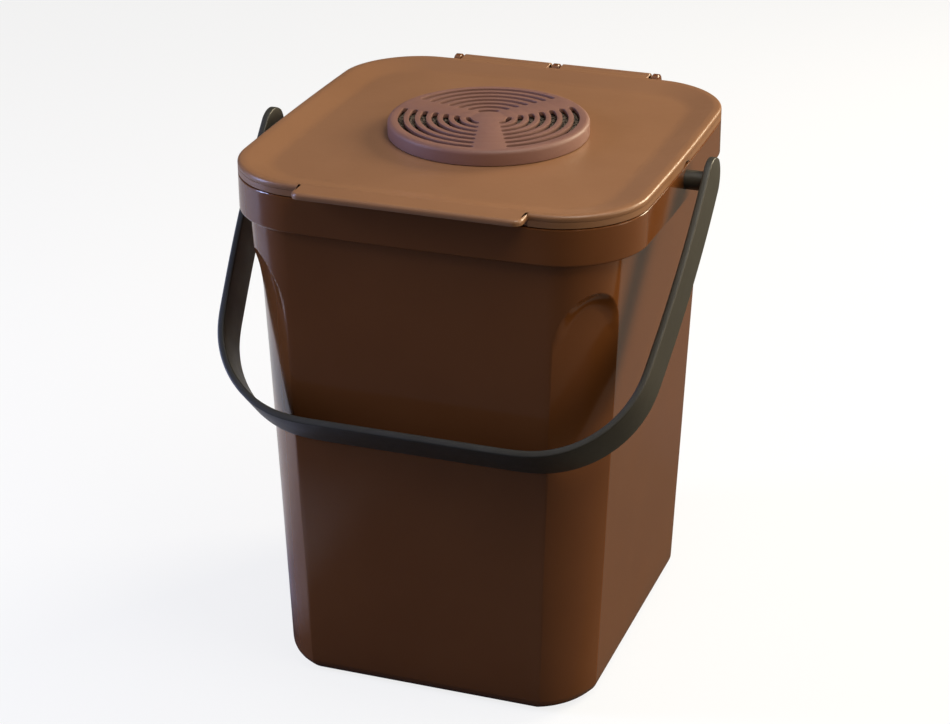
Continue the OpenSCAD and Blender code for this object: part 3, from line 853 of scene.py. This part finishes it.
def slotted_disc_tree():
    """Geometry Nodes group that makes a round plate pierced by sectors of slots."""
    tree = bpy.data.node_groups.new("slotted_disc", "GeometryNodeTree")

    def interface(names, kind, in_out="INPUT"):
        for name in names:
            tree.interface.new_socket(name, in_out=in_out, socket_type="NodeSocket" + kind)

    interface(["Geometry"], "Geometry")
    interface(["Geometry"], "Geometry", "OUTPUT")
    interface(["Disc Radius", "Outer Slot Radius", "Pitch", "Slot Width", "Inner Spoke",
               "Outer Spoke", "Spoke Radius", "Thickness", "Height", "Turn", "Middle Y"], "Float")
    interface(["Rings", "Edge Points"], "Int")
    interface(["Material"], "Material")
    group = tree.nodes.new("NodeGroupInput").outputs

    def made(kind, inputs, **settings):
        """First output of a new node."""
        return add(tree, kind, inputs, **settings).outputs[0]

    def maths(operation, *values, clamp=False):
        return made("ShaderNodeMath", dict(enumerate(values)), operation=operation, use_clamp=clamp)

    def whole(value, count):
        """How many times count goes into a whole value."""
        return maths("FLOOR", maths("DIVIDE", maths("ADD", value, 0.5), count))

    def rest(value, times, count):
        return maths("SUBTRACT", value, maths("MULTIPLY", times, count))

    def part(start, count):
        """0 to 1 over one stretch of a slot's points."""
        return maths("DIVIDE", maths("SUBTRACT", step, start), count, clamp=True)

    def coordinate(function):
        return maths("ADD", maths("MULTIPLY", radius, maths(function, angle)),
                     maths("MULTIPLY", width, maths(function, leaned)))

    def lifted(geometry, axis, distance):
        """Geometry moved along one axis."""
        return made("GeometryNodeTransform", {
            "Geometry": geometry, "Translation": made("ShaderNodeCombineXYZ", {axis: distance})})

    def together(*parts):
        node = tree.nodes.new("GeometryNodeJoinGeometry")
        for geometry in parts:
            tree.links.new(geometry, node.inputs[0])
        return node.outputs[0]

    # Which slot, ring and sector a point belongs to, and how far along its slot it is
    index = tree.nodes.new("GeometryNodeInputIndex").outputs[0]
    slot = whole(index, SLOT_POINTS)
    step = rest(index, slot, SLOT_POINTS)
    ring = whole(slot, SECTORS)
    sector = rest(slot, ring, SECTORS)
    radius = rest(group["Outer Slot Radius"], ring, group["Pitch"])

    # Spokes widen outward, and leave this angle to each slot
    wider = maths("SUBTRACT", group["Outer Spoke"], group["Inner Spoke"])
    spoke = maths("ADD", group["Inner Spoke"],
                  maths("MULTIPLY", wider, maths("DIVIDE", radius, group["Spoke Radius"])))
    half = maths("DIVIDE", maths("ADD", spoke, group["Slot Width"]), 2)
    gap = maths("MULTIPLY", 2, maths("ARCSINE", maths("DIVIDE", half, radius)))
    sweep = maths("SUBTRACT", SECTOR_TURN, gap)

    # Out along the slot's outer side, round its end, home along its inner side, round again
    out = part(0, ARC_STEPS)
    first_end = part(ARC_STEPS, END_STEPS)
    home = part(ARC_STEPS + END_STEPS, ARC_STEPS)
    last_end = part(2 * ARC_STEPS + END_STEPS, END_STEPS)
    along = maths("SUBTRACT", maths("SUBTRACT", out, home), 0.5)
    facing = maths("ADD", maths("MULTIPLY", maths("ADD", sector, 0.5), SECTOR_TURN), group["Turn"])
    angle = maths("ADD", maths("MULTIPLY", along, sweep), facing)
    leaned = maths("ADD", angle, maths("MULTIPLY", maths("ADD", first_end, last_end), pi))
    width = maths("DIVIDE", group["Slot Width"], 2)

    place = made("ShaderNodeCombineXYZ", {
        "X": coordinate("COSINE"), "Y": maths("ADD", coordinate("SINE"), group["Middle Y"])})
    points = made("GeometryNodePoints", {
        "Count": maths("MULTIPLY", group["Rings"], SECTORS * SLOT_POINTS), "Position": place})
    curves = made("GeometryNodePointsToCurves", {"Points": points, "Curve Group ID": slot})
    slots = made("GeometryNodeSetSplineCyclic", {0: curves, "Cyclic": True})
    edge = made("GeometryNodeCurvePrimitiveCircle", {"Resolution": group["Edge Points"],
                                                     "Radius": group["Disc Radius"]})
    outlines = together(slots, lifted(edge, "Y", group["Middle Y"]))
    filled = made("GeometryNodeFillCurve", {"Curve": outlines})

    # The filled face is pushed up, and a flipped copy of it closes the plate below
    thickness = made("ShaderNodeCombineXYZ", {"Z": group["Thickness"]})
    upper = made("GeometryNodeExtrudeMesh", {"Mesh": filled, "Offset": thickness,
                                             "Individual": False})
    plate = together(upper, made("GeometryNodeFlipFaces", {0: filled}))
    merged = made("GeometryNodeMergeByDistance", {"Geometry": plate, "Distance": 1e-6})
    placed = lifted(merged, "Z", group["Height"])
    realized = made("GeometryNodeRealizeInstances", {0: placed})
    finish = made("GeometryNodeSetMaterial", {"Geometry": realized, "Material": group["Material"]})
    tree.links.new(finish, tree.nodes.new("NodeGroupOutput").inputs[0])
    return tree


DISC_TREE = slotted_disc_tree()


def slotted_disc(name, material, lengths, rings, edge_points, turn):
    """Baked plate from the tree; lengths are in millimetres and keyed by input name."""
    obj = bpy.data.objects.new(name, bpy.data.meshes.new(name))
    bpy.context.scene.collection.objects.link(obj)
    modifier = obj.modifiers.new("slots", "NODES")
    modifier.node_group = DISC_TREE
    sockets = {s.name: s.identifier for s in DISC_TREE.interface.items_tree if s.in_out == "INPUT"}
    for key, value in lengths.items():
        modifier[sockets[key]] = value * MM
    modifier[sockets["Turn"]] = radians(turn)
    modifier[sockets["Rings"]] = rings
    modifier[sockets["Edge Points"]] = edge_points
    modifier[sockets["Material"]] = material
    return bake(obj)


print("slot tree:", len(DISC_TREE.nodes), "nodes")

# %% [markdown]
# The panel under the filter takes three wide rings of slots. The plate is made by the
# tree and joined to the lid's shell.

# %% Lid from its parts
SLOT_OUTER_R = 47.4    # middle of the cover's outermost slots, and outer side of the grille's
GRILLE_W, GRILLE_PITCH, GRILLE_RINGS = 6.0, 12.0, 3
VENT_SIZES = {"Inner Spoke": 8.0, "Outer Spoke": 18.0, "Spoke Radius": COVER_R, "Middle Y": COVER_Y}


def join_into(obj, extra, distance=0.0):
    """Add another object's mesh to obj and remove it, merging points nearer than distance."""
    with edited(obj.data) as work:
        work.from_mesh(extra.data)
        if distance:
            bmesh.ops.remove_doubles(work, verts=work.verts, dist=distance)
    bpy.data.objects.remove(extra)


lid = mesh_object("lid_moulding", *joined([lid_shell] + flaps), lid_plastic)
grille = slotted_disc("panel_grille", lid_plastic, {
    "Disc Radius": SEAT_IN_R + 0.4, "Outer Slot Radius": SLOT_OUTER_R - GRILLE_W / 2,
    "Pitch": GRILLE_PITCH, "Slot Width": GRILLE_W, "Thickness": LID_WALL - 0.1,
    "Height": PANEL_UNDER_Z + 0.05, **VENT_SIZES}, GRILLE_RINGS, 96, 0.0)
join_into(lid, grille)
smooth(lid)
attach(lid, "lid_assembly")
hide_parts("lid")
print("lid:", len(lid.data.polygons), "faces")

# %% [markdown]
# ## Vent cover
#
# A shallow round cap: the slotted plate from the tree, a rounded shoulder and a plain side
# wall with a finger notch to twist it off by. The wall is a lathe form whose top columns
# meet the plate's edge, and the two are merged. A small bevel eases every slot.

# %% Vent cover
COVER_TURN = 50.0
SLOT_PITCH, SLOT_W, SLOT_RINGS = 6.05, 3.3, 7
PRY_W, PRY_H, PRY_TURN = 11.0, 2.6, 170.0      # the finger notch
STEP_TURN = 0.0005                             # in radians, half of a side of the notch
COVER_COLUMNS = 192
PLATE_R = COVER_R - COVER_EDGE_R
COVER_LOW = PANEL_Z + 0.2
COVER_UNDER = COVER_TOP - COVER_T

vent_cover = slotted_disc("vent_cover_cap", cover_plastic, {
    "Disc Radius": PLATE_R, "Outer Slot Radius": SLOT_OUTER_R, "Pitch": SLOT_PITCH,
    "Slot Width": SLOT_W, "Thickness": COVER_T, "Height": COVER_UNDER, **VENT_SIZES},
    SLOT_RINGS, COVER_COLUMNS, COVER_TURN)

even_turns = around(COVER_COLUMNS)
half_notch = PRY_W / 2 / COVER_R
from_notch = (even_turns - radians(PRY_TURN) + pi) % (2 * pi) - pi
notched = np.abs(from_notch) < half_notch
wall_turns = even_turns.copy()
for side in (-1, 1):
    inside = np.argmin(np.where(notched, half_notch - side * from_notch, 9))
    outside = (inside + side) % COVER_COLUMNS
    wall_turns[inside] = radians(PRY_TURN) + side * (half_notch - STEP_TURN)
    wall_turns[outside] = radians(PRY_TURN) + side * (half_notch + STEP_TURN)
low_z = np.where(notched, COVER_LOW + PRY_H, COVER_LOW)


def vent_ring(r, z, angles):
    """Ring round the vent's middle."""
    return np.column_stack([r * np.cos(angles), COVER_Y + r * np.sin(angles),
                            np.broadcast_to(z, len(angles))])


def cover_wall():
    """Shell from the plate's upper edge over the shoulder, down the side and back inside."""
    rings = [vent_ring(PLATE_R, COVER_TOP, even_turns)]
    for a in quarter(6)[1:]:
        rings.append(vent_ring(PLATE_R + COVER_EDGE_R * sin(a),
                               COVER_TOP - COVER_EDGE_R * (1 - cos(a)), wall_turns))
    for r, z in ((COVER_R, low_z + 0.3), (COVER_R - 0.3, low_z), (COVER_R - COVER_T, low_z),
                 (COVER_R - COVER_T, COVER_UNDER)):
        rings.append(vent_ring(r, z, wall_turns))
    rings.append(vent_ring(PLATE_R, COVER_UNDER, even_turns))
    return loft(rings)


def at_plate_edge(vert):
    return sqrt(vert.co.x ** 2 + (vert.co.y - COVER_Y * MM) ** 2) > (PLATE_R - 0.05) * MM


with edited(vent_cover.data) as work:
    edge_faces = [face for face in work.faces if all(at_plate_edge(v) for v in face.verts)]
    bmesh.ops.delete(work, geom=edge_faces, context="FACES")
join_into(vent_cover, mesh_object("cover_side", *cover_wall(), cover_plastic), 2e-6)
vent_cover.data.materials.clear()
vent_cover.data.materials.append(cover_plastic)
vent_cover.data.polygons.foreach_set("material_index", [0] * len(vent_cover.data.polygons))
with edited(vent_cover.data) as work:
    bmesh.ops.recalc_face_normals(work, faces=work.faces)
    print("cover open edges:", sum(not e.is_manifold for e in work.edges))
ease = vent_cover.modifiers.new("ease", "BEVEL")
ease.width, ease.segments, ease.limit_method, ease.angle_limit = 0.3 * MM, 2, "ANGLE", radians(50)
bake(vent_cover)
smooth(vent_cover)
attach(vent_cover, "cover")
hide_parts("vent_cover")
print("vent cover:", len(vent_cover.data.polygons), "faces")

# %% [markdown]
# ## Carbon filter
#
# A disc of open foam under the slots. Its skin is a fine polar grid whose points are
# pushed in by a seeded random amount, like cells cut open, and the material adds the finer
# pores.

# %% Carbon filter
filter_low, filter_high = box_mm("carbon_filter")
FILTER_R = (filter_high[0] - filter_low[0]) / 2
FOAM_COLUMNS, FOAM_RINGS, FOAM_SIDE_RINGS = 240, 62, 6
FOAM_EASE = 0.4
PORE_ROOT, SIDE_PORES = 0.9, 0.012    # root of a pit's depth in mm, and share of the radius
pores = np.random.default_rng(7)


def foam_disc():
    """Disc of rings with a closed skin, pitted at random on its top and its side."""
    angles = np.arange(FOAM_COLUMNS) * 2 * pi / FOAM_COLUMNS
    steps = np.linspace(0, FILTER_R - FOAM_EASE, FOAM_RINGS)
    side_z = np.linspace(filter_low[2] + FOAM_EASE, filter_high[2] - FOAM_EASE, FOAM_SIDE_RINGS)
    low = [vent_ring(r, filter_low[2], angles) for r in steps]
    side = [vent_ring(FILTER_R, z, angles) for z in side_z]
    top = [vent_ring(r, filter_high[2], angles) for r in steps[::-1]]
    for ring in top[:-1]:
        ring[:, 2] -= pores.uniform(0, PORE_ROOT, len(ring)) ** 2
    for ring in side:
        pits = pores.uniform(0, SIDE_PORES, len(ring))[:, None]
        ring[:, :2] = lerp(ring[:, :2], [0, COVER_Y], pits)
    return loft(low + side + top)


foam_filter = mesh_object("carbon_filter_foam", *foam_disc(), filter_foam, sharp=75)
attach(foam_filter, "filter")
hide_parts("carbon_filter")
print("filter:", len(foam_filter.data.polygons), "faces")

# %% [markdown]
# ## Handle
#
# The bail is one flat strap bent into a wide U, with round ends over its pivots. It is a
# loft of rounded-rectangle sections along the U. At rest it hangs on the front of the bin,
# so the U is drawn level and then turned down until it meets the bin's front.

# %% Handle
STRAP_EDGE_R = 0.9
SECTION_STEPS = 4
TIP_HALF = 0.12        # least half width, at the tips of the round ends


def smoothed(line, count=420, passes=60):
    """The line at even steps with its kinks eased."""
    gone = np.concatenate([[0], np.cumsum(np.hypot(*np.diff(line, axis=0).T))])
    at = np.linspace(0, gone[-1], count)
    even_line = np.column_stack([np.interp(at, gone, line[:, k]) for k in (0, 1)])
    for _ in range(passes):
        even_line[1:-1] = (even_line[:-2] + 2 * even_line[1:-1] + even_line[2:]) / 4
    return even_line


def bail_path():
    """Outer line of the whole bail in its own plane, smoothed where arms and corners meet."""
    t = np.linspace(0, 1, 200)[:, None]
    arm = np.hstack([lerp(BAIL_TOP, BAIL_LOW, t) + 4 * BAIL_BOW * t * (1 - t),
                     lerp(STRAP_W / 2, -(BAIL_L - BAIL_CORNER_R), t)])
    a = -np.linspace(0, pi / 2, 160)[1:, None]
    middle = np.array([BAIL_LOW - BAIL_CORNER_R, -(BAIL_L - BAIL_CORNER_R)])
    corner = middle + BAIL_CORNER_R * np.hstack([np.cos(a), np.sin(a)])
    grip = np.column_stack([np.linspace(middle[0], 0, 60)[1:], np.full(59, -BAIL_L)])
    right = np.vstack([arm, corner, grip])
    return smoothed(np.vstack([right, (right * [-1, 1])[-2::-1]]))


def strap_section(half, t, r):
    """Rounded rectangle as (depth under the outer face, across) pairs."""
    r = min(r, half * 0.95)
    corners = ((-r, half - r), (-t + r, half - r), (-t + r, -half + r), (-r, -half + r))
    points = []
    for q, (cx, cy) in enumerate(corners):
        for a in quarter(SECTION_STEPS) + q * pi / 2:
            points.append((cx + r * cos(a), cy + r * sin(a)))
    return np.array(points)


def bail_shell():
    """The strap as a loft along its path, with round ends over the pivots."""
    line = bail_path()
    ends = STRAP_W / 2 * np.sin(np.linspace(0.06, pi / 2, 22))
    slope = (line[3] - line[0]) / (line[3][1] - line[0][1])
    right_arm = [line[0] + slope * (y - line[0][1]) for y in ends[::-1]]
    left_arm = [point * [-1, 1] for point in right_arm]
    path = np.vstack([right_arm, line[line[:, 1] < ends[0]], left_arm[::-1]])
    tangent = np.gradient(path, axis=0)
    tangent /= np.hypot(tangent[:, 0], tangent[:, 1])[:, None]
    outward = np.column_stack([-tangent[:, 1], tangent[:, 0]])
    rings = []
    for point, normal in zip(path, outward):
        half = STRAP_W / 2
        if point[1] > 0:
            half = sqrt(max(half ** 2 - point[1] ** 2, TIP_HALF ** 2))
        depth, across = strap_section(half, STRAP_T, STRAP_EDGE_R).T
        rings.append(np.column_stack([point[0] + normal[0] * depth,
                                      point[1] + normal[1] * depth, across]))
    return loft(rings, caps=(True, True))


def rest_angle():
    """Angle below level at which the strap's inner lower edge meets the bin's front."""
    draft = (SHOULDER_D - BASE_D) / 2 / COLLAR_Z
    inner, half = BAIL_L - STRAP_T, STRAP_W / 2
    along, across = inner + draft * half, half - draft * inner
    reach = 0.5 + BASE_D / 2 + draft * PIVOT_Z + PIVOT_Y
    return np.arccos(reach / np.hypot(along, across)) - atan2(across, along)


def stud(side):
    """Round pin from inside the collar into the strap, with eased ends."""
    root, end = RIM_W / 2 - WALL, BAIL_TOP - STRAP_T / 2
    section = ((root - 0.5, STUD_R - 0.6), (root + 0.1, STUD_R), (end - 0.4, STUD_R),
               (end, STUD_R - 0.4))
    return loft([side_ring(side * x, around(64), r, PIVOT) for x, r in section], caps=(True, True))


bail_points, bail_faces = bail_shell()
angle = rest_angle()
down = np.array([[1, 0, 0], [0, cos(angle), sin(angle)], [0, -sin(angle), cos(angle)]])
turned = bail_points @ down + [0, PIVOT_Y, PIVOT_Z]
handle_shells = [(turned, bail_faces), stud(1), stud(-1)]
handle = mesh_object("bail_strap", *joined(handle_shells), handle_plastic)
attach(handle, "bail")
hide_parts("handle")
print("bail turned", round(degrees(angle), 2), "degrees,", len(handle.data.polygons), "faces")

# %% [markdown]
# The hinge pin keeps its CAD mesh, since it only shows in the gaps between ears and
# barrels, and takes the bin's plastic.

# %% Hinge pin
for obj in bpy.data.objects:
    if obj.type == "MESH" and obj.name.startswith("hinge_rod"):
        for slot in obj.material_slots:
            slot.material = bin_plastic
        print("pin:", obj.name)

# %% [markdown]
# ## Floor and world
#
# The photograph is a cut-out on white. The floor is pale and plain and keeps a soft
# shadow. What the glossy bin mirrors matters most: a bright floor would turn its dark
# front pale, so only the camera sees the floor and the world white, and reflections see a
# darker room. No piece is metal or glass that would have to show the white. One sheet of
# pale paper, left of the bin, is kept for the reflections, because the left flute mirrors
# it.

# %% Floor and world
ROOM_COLOUR, ROOM_LEVEL = (0.86, 0.86, 0.88, 1.0), 0.06
WHITE = (1.0, 1.0, 1.0, 1.0)
FLOOR_SEEN, FLOOR_REAL = 0.95, 0.08      # how pale it looks, and how pale to other rays
FLOOR_LIFT = 0.82                        # share of plain white in the floor that is seen
FLOOR_SIZE, FLOOR_CELLS = 8.0, 60.0      # in metres, and to the metre
PAPER = 0.8                              # how pale the paper is in reflections
PAPER_X, PAPER_Y = (-0.14, -0.1), (-0.32, -0.22)    # its right and front edge, with their fade
scene = bpy.context.scene


def grey(level):
    return [level] * 3 + [1.0]


def show_apart(tree, real, seen, output):
    """Give the camera one shader and all other rays another."""
    camera_ray = add(tree, "ShaderNodeLightPath", {}).outputs["Is Camera Ray"]
    mixed = add(tree, "ShaderNodeMixShader",
                {0: camera_ray, 1: real.outputs[0], 2: seen.outputs[0]})
    feed(tree.nodes[output], {"Surface": mixed.outputs[0]})


world = bpy.data.worlds.new("studio")
scene.world = world
world.use_nodes = True
room = feed(world.node_tree.nodes["Background"], {"Color": ROOM_COLOUR, "Strength": ROOM_LEVEL})
backdrop = add(world.node_tree, "ShaderNodeBackground", {"Color": WHITE})
show_apart(world.node_tree, room, backdrop, "World Output")

floor_material, tree, real = new_material("floor_pale")
coords = own_coords(tree)
grain = ramp(tree, noise(tree, coords, FLOOR_CELLS), 0.0, 1.0)
plain = blend_colours(tree, grain, grey(FLOOR_REAL * 0.97), grey(FLOOR_REAL))
place = add(tree, "ShaderNodeSeparateXYZ", {0: coords}).outputs
on_paper = add(tree, "ShaderNodeMath", {0: ramp(tree, place["X"], 1.0, 0.0, *PAPER_X),
                                        1: ramp(tree, place["Y"], 0.0, 1.0, *PAPER_Y)},
               operation="MULTIPLY").outputs[0]
feed(real, {"Base Color": blend_colours(tree, on_paper, plain, grey(PAPER)), "Roughness": 0.9})
shaded = add(tree, "ShaderNodeBsdfDiffuse", {"Color": grey(FLOOR_SEEN)})
glow = add(tree, "ShaderNodeEmission", {"Strength": 1.0})
seen = add(tree, "ShaderNodeMixShader",
           {0: FLOOR_LIFT, 1: shaded.outputs[0], 2: glow.outputs[0]})
show_apart(tree, real, seen, "Material Output")
bpy.ops.mesh.primitive_plane_add(size=FLOOR_SIZE, location=(0.0, 0.0, bin_low[2] * MM))
floor_obj = bpy.context.object
floor_obj.name = "floor"
floor_obj.data.materials.append(floor_material)
print("floor at z", round(bin_low[2], 3))

# %% [markdown]
# ## Lights
#
# A studio with soft boxes could be lit by a picture of one, but area lights can be placed
# until each reflection falls where the photograph shows it. One light hangs overhead and
# one near over the lid. Three warm ones stand at the right, and their reflections draw the
# flute, the right side and the collar. A narrow cool one at the left draws the left flute.

# %% Lights
BODY = (0.0, 0.0, 0.15)
LIGHTS = {      # place and aim in metres, size, power in watts, colour
    "overhead": ((0.0, 0.2, 1.9), (0.0, 0.0, 0.25), (1.4, 1.4), 4.0, (1.0, 1.0, 1.0)),
    "near_key": ((0.3, -0.2, 0.9), (0.04, -0.08, 0.29), (0.45, 0.45), 3.1, (1.0, 0.95, 0.84)),
    "right_back": ((0.87, 1.04, 0.78), (0.05, 0.0, 0.15), (0.6, 0.6), 22.0, (1.0, 0.88, 0.64)),
    "right_low": ((1.4, 0.3, 0.45), BODY, (0.9, 0.6), 7.0, (1.0, 0.86, 0.62)),
    "right_front": ((1.5, -0.35, 0.7), BODY, (0.5, 0.9), 2.5, (1.0, 0.9, 0.74)),
    "left_strip": ((-1.2, -0.5, 0.5), BODY, (0.25, 1.0), 8.4, (0.84, 1.02, 1.8)),
}


def soft_light(name, place, aim, size, power, colour):
    """Rectangular area light at a place in metres that faces aim."""
    data = bpy.data.lights.new(name, "AREA")
    data.shape, (data.size, data.size_y) = "RECTANGLE", size
    data.energy, data.color = power, colour
    light = bpy.data.objects.new(name, data)
    scene.collection.objects.link(light)
    light.location = place
    light.rotation_euler = (Vector(aim) - Vector(place)).to_track_quat("-Z", "Y").to_euler()


for name, values in LIGHTS.items():
    soft_light(name, *values)
print("lights:", list(LIGHTS))
scene.view_settings.view_transform = "Standard"
